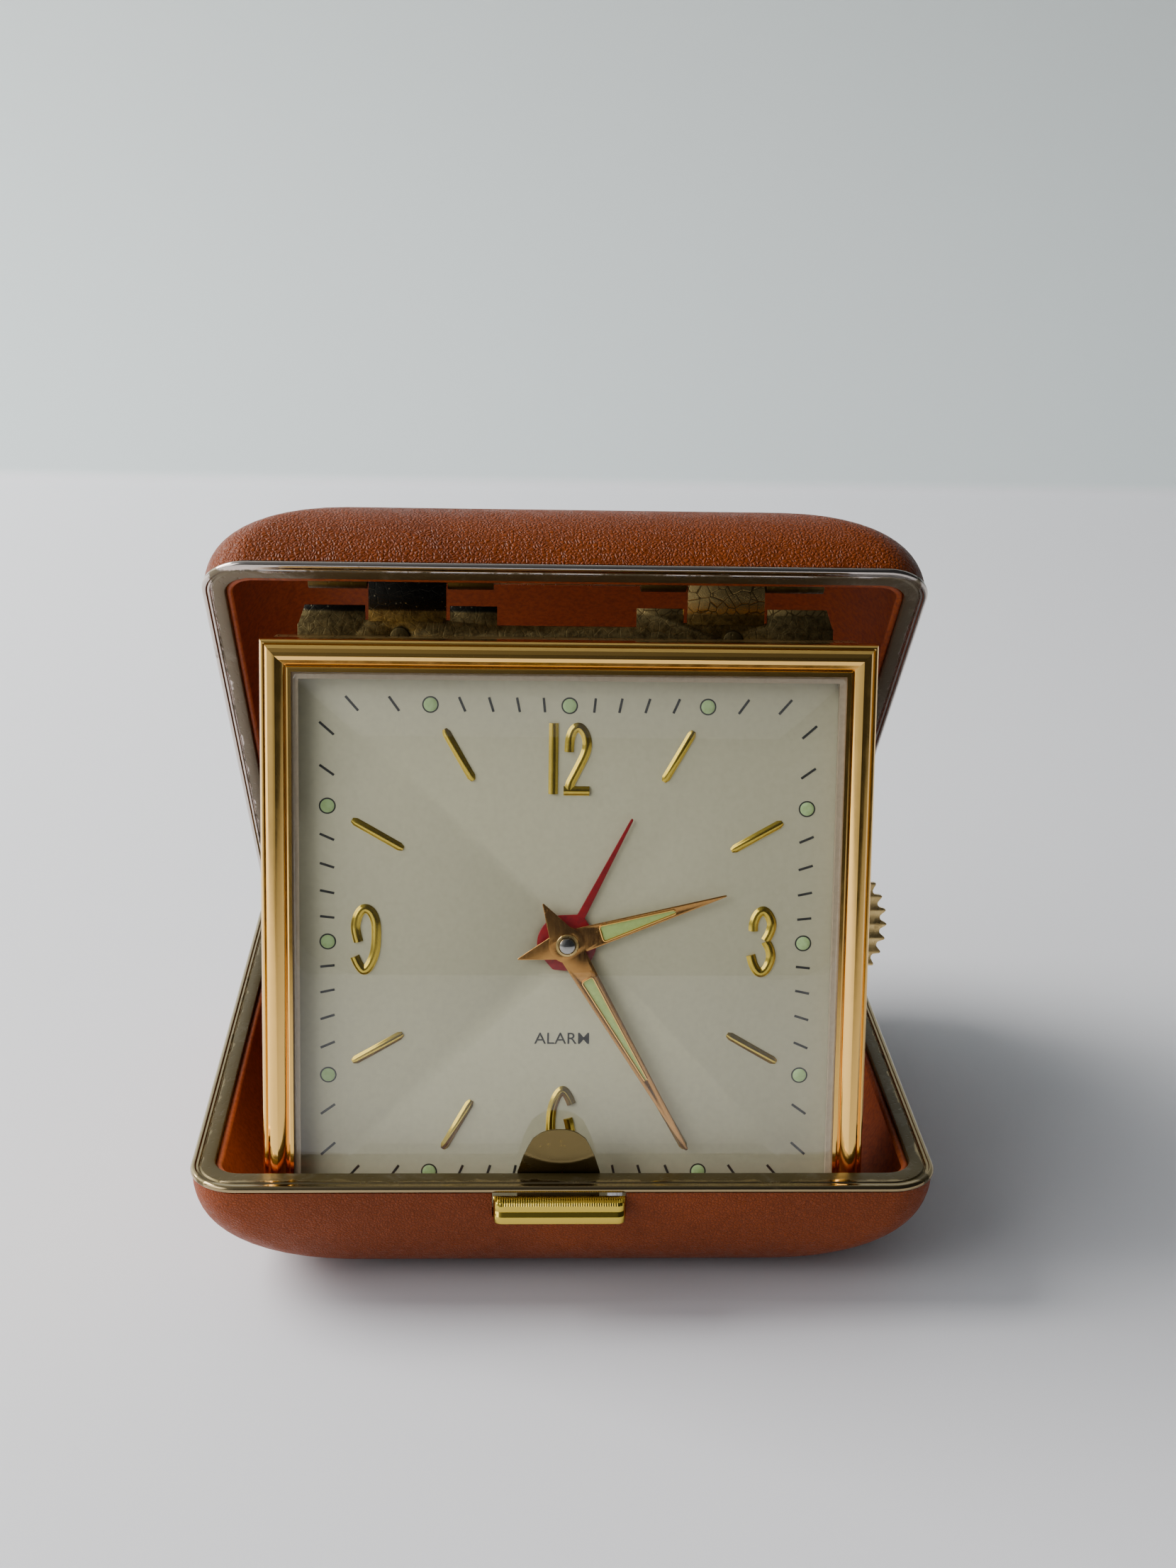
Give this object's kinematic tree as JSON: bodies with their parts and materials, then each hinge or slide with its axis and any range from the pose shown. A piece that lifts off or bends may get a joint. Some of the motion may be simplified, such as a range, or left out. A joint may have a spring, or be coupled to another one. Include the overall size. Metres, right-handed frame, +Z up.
{
  "type": "folding travel alarm clock",
  "caption": "Folding travel alarm clock: square gilt head with cream dial, hinged inside a two-shell padded leather case that stands open as an easel.",
  "frame": {"origin": "centre of the base shell's flat underside", "axes": "+Z up, +X to the right as the reader faces the dial, +Y towards the back of the case"},
  "size_m": [0.08, 0.0867, 0.0792],
  "materials": {
    "leather": "grained saddle tan leather",
    "shell_steel": "pressed, hidden",
    "lining": "brown gathered lining",
    "rim_nickel": "nickel plate, worn to olive grey",
    "hinge_metal": "dull worn plate",
    "gold": "polished gold plate",
    "brass": "plain brass",
    "glass": "clear domed crystal",
    "dial_cream": "matt cream, fine grain",
    "retainer_grey": "matt",
    "lume": "luminous paint, pale green",
    "alarm_red": "red lacquer",
    "case_brass": "satin brass plate",
    "steel": "bright steel"
  },
  "bodies": {
    "base": {"base_leather": "leather", "base_shell": "shell_steel", "base_lining": "lining", "base_rim": "rim_nickel", "rear_hinge_base_leaf": "hinge_metal", "rear_hinge_pin": "steel", "latch_spring": "steel"},
    "latch": {"latch_push_bar": "gold", "latch_tongue": "brass"},
    "lid": {"lid_leather": "leather", "lid_shell": "shell_steel", "lid_lining": "lining", "lid_rim": "rim_nickel", "rear_hinge_lid_leaf": "hinge_metal", "top_hinge_bracket": "hinge_metal", "top_hinge_pin": "steel"},
    "head": {"head_hinge_plate": "hinge_metal", "head_frame": "gold", "crystal": "glass", "crystal_retainer": "retainer_grey", "dial": "dial_cream", "dial_batons": "gold", "dial_numerals": "gold", "dial_lume_dots": "lume", "case_band": "case_brass", "back_cover": "case_brass", "back_cover_screws": "steel", "hinge_plate_rivets": "hinge_metal", "hairspring": "steel", "front_plate": "brass", "back_plate": "brass", "plate_pillars": "brass", "plate_screws": "steel", "movement_studs": "steel"},
    "centre_arbor": {"centre_wheel": "brass", "cannon_pinion": "brass", "minute_hand": "gold", "minute_hand_lume": "lume", "hand_setting_knob": "brass"},
    "minute_wheel": {"minute_wheel": "brass"},
    "hour_hand": {"hour_wheel": "brass", "hour_hand": "gold", "hour_hand_lume": "lume"},
    "alarm_hand": {"alarm_wheel": "brass", "alarm_hand": "alarm_red"},
    "alarm_setter": {"alarm_setting_arbor": "steel", "alarm_setting_knob": "brass"},
    "mainspring_barrel": {"mainspring_barrel": "brass"},
    "third_wheel": {"third_wheel": "brass"},
    "fourth_wheel": {"fourth_wheel": "brass"},
    "escape_wheel": {"escape_wheel": "brass"},
    "pallet_fork": {"pallet_fork": "steel"},
    "balance_wheel": {"balance_wheel": "brass"},
    "thumb_wheel": {"winding_thumb_wheel": "brass"},
    "barrel_arbor": {"barrel_arbor": "steel"},
    "alarm_barrel": {"alarm_barrel": "brass", "alarm_winding_key": "brass"},
    "alarm_hammer": {"alarm_hammer": "steel"},
    "alarm_stop": {"alarm_stop_slide": "brass"},
    "regulator": {"regulator_lever": "steel"}
  },
  "joints": [
    {"name": "lid_hinge", "type": "hinge", "parent": "base", "child": "lid", "pos_m": [0, 0.0403, 0.0152], "axis": [-1, 0, 0], "range_deg": [0, 52]},
    {"name": "head_hinge", "type": "hinge", "parent": "lid", "child": "head", "pos_m": [0, -0.00811, 0.07273], "axis": [1, 0, 0], "range_deg": [0, 52]},
    {"name": "latch_press", "type": "slide", "parent": "base", "child": "latch", "axis": [0, 1, 0], "range_m": [0, 0.0008], "stiffness_N_per_m": 500},
    {"name": "minute_hand_turn", "type": "hinge", "parent": "head", "child": "centre_arbor", "pos_m": [0, -0.0268, 0.0377], "axis": [0, 0.9808, -0.1951], "continuous": true},
    {"name": "hour_hand_turn", "type": "hinge", "parent": "head", "child": "hour_hand", "pos_m": [0, -0.0268, 0.0377], "axis": [0, 0.9808, -0.1951], "continuous": true},
    {"name": "minute_wheel_turn", "type": "hinge", "parent": "head", "child": "minute_wheel", "pos_m": [-0.00354, -0.02749, 0.03423], "axis": [0, 0.9808, -0.1951], "continuous": true},
    {"name": "barrel_turn", "type": "hinge", "parent": "head", "child": "mainspring_barrel", "pos_m": [0.01114, -0.0268, 0.0377], "axis": [0, 0.9808, -0.1951], "continuous": true},
    {"name": "third_wheel_turn", "type": "hinge", "parent": "head", "child": "third_wheel", "pos_m": [-0.0093, -0.02746, 0.03438], "axis": [0, 0.9808, -0.1951], "continuous": true},
    {"name": "fourth_wheel_turn", "type": "hinge", "parent": "head", "child": "fourth_wheel", "pos_m": [-0.01075, -0.02586, 0.04244], "axis": [0, 0.9808, -0.1951], "continuous": true},
    {"name": "escape_wheel_turn", "type": "hinge", "parent": "head", "child": "escape_wheel", "pos_m": [-0.01664, -0.02519, 0.04577], "axis": [0, 0.9808, -0.1951], "continuous": true},
    {"name": "pallet_rock", "type": "hinge", "parent": "head", "child": "pallet_fork", "pos_m": [-0.02153, -0.02554, 0.04403], "axis": [0, 0.9808, -0.1951], "range_deg": [-4, 4]},
    {"name": "balance_swing", "type": "hinge", "parent": "head", "child": "balance_wheel", "pos_m": [-0.02324, -0.02646, 0.03942], "axis": [0, 0.9808, -0.1951], "range_deg": [-200, 200], "stiffness_Nm_per_rad": 0.0000003},
    {"name": "alarm_setting_turn", "type": "hinge", "parent": "head", "child": "alarm_setter", "pos_m": [0, -0.02475, 0.048], "axis": [0, 0.9808, -0.1951], "continuous": true},
    {"name": "alarm_hand_turn", "type": "hinge", "parent": "head", "child": "alarm_hand", "pos_m": [0, -0.0268, 0.0377], "axis": [0, 0.9808, -0.1951], "continuous": true},
    {"name": "thumb_wheel_turn", "type": "hinge", "parent": "head", "child": "thumb_wheel", "pos_m": [0.0278, -0.0268, 0.0377], "axis": [0, 0.9808, -0.1951], "continuous": true},
    {"name": "barrel_arbor_turn", "type": "hinge", "parent": "head", "child": "barrel_arbor", "pos_m": [0.01114, -0.0268, 0.0377], "axis": [0, 0.9808, -0.1951], "continuous": true},
    {"name": "alarm_winding_turn", "type": "hinge", "parent": "head", "child": "alarm_barrel", "pos_m": [0.01, -0.03009, 0.02117], "axis": [0, 0.9808, -0.1951], "continuous": true},
    {"name": "hammer_swing", "type": "hinge", "parent": "head", "child": "alarm_hammer", "pos_m": [0.02, -0.02953, 0.02397], "axis": [0, -0.9808, 0.1951], "range_deg": [0, 9], "stiffness_Nm_per_rad": 0.0002},
    {"name": "alarm_stop_slide", "type": "slide", "parent": "head", "child": "alarm_stop", "axis": [1, 0, 0], "range_m": [-0.0015, 0.0015]},
    {"name": "regulator_turn", "type": "hinge", "parent": "head", "child": "regulator", "pos_m": [-0.016, -0.02407, 0.05143], "axis": [0, 0.9808, -0.1951], "range_deg": [-20, 20]}
  ],
  "couplings": [
    {"joint": "hour_hand_turn", "follows": "minute_hand_turn", "ratio": 0.083333},
    {"joint": "minute_wheel_turn", "follows": "minute_hand_turn", "ratio": -0.33333},
    {"joint": "barrel_turn", "follows": "minute_hand_turn", "ratio": -0.125},
    {"joint": "third_wheel_turn", "follows": "minute_hand_turn", "ratio": -8},
    {"joint": "escape_wheel_turn", "follows": "fourth_wheel_turn", "ratio": -7.5},
    {"joint": "alarm_hand_turn", "follows": "alarm_setting_turn", "ratio": -0.16667},
    {"joint": "barrel_arbor_turn", "follows": "thumb_wheel_turn", "ratio": -1}
  ]
}
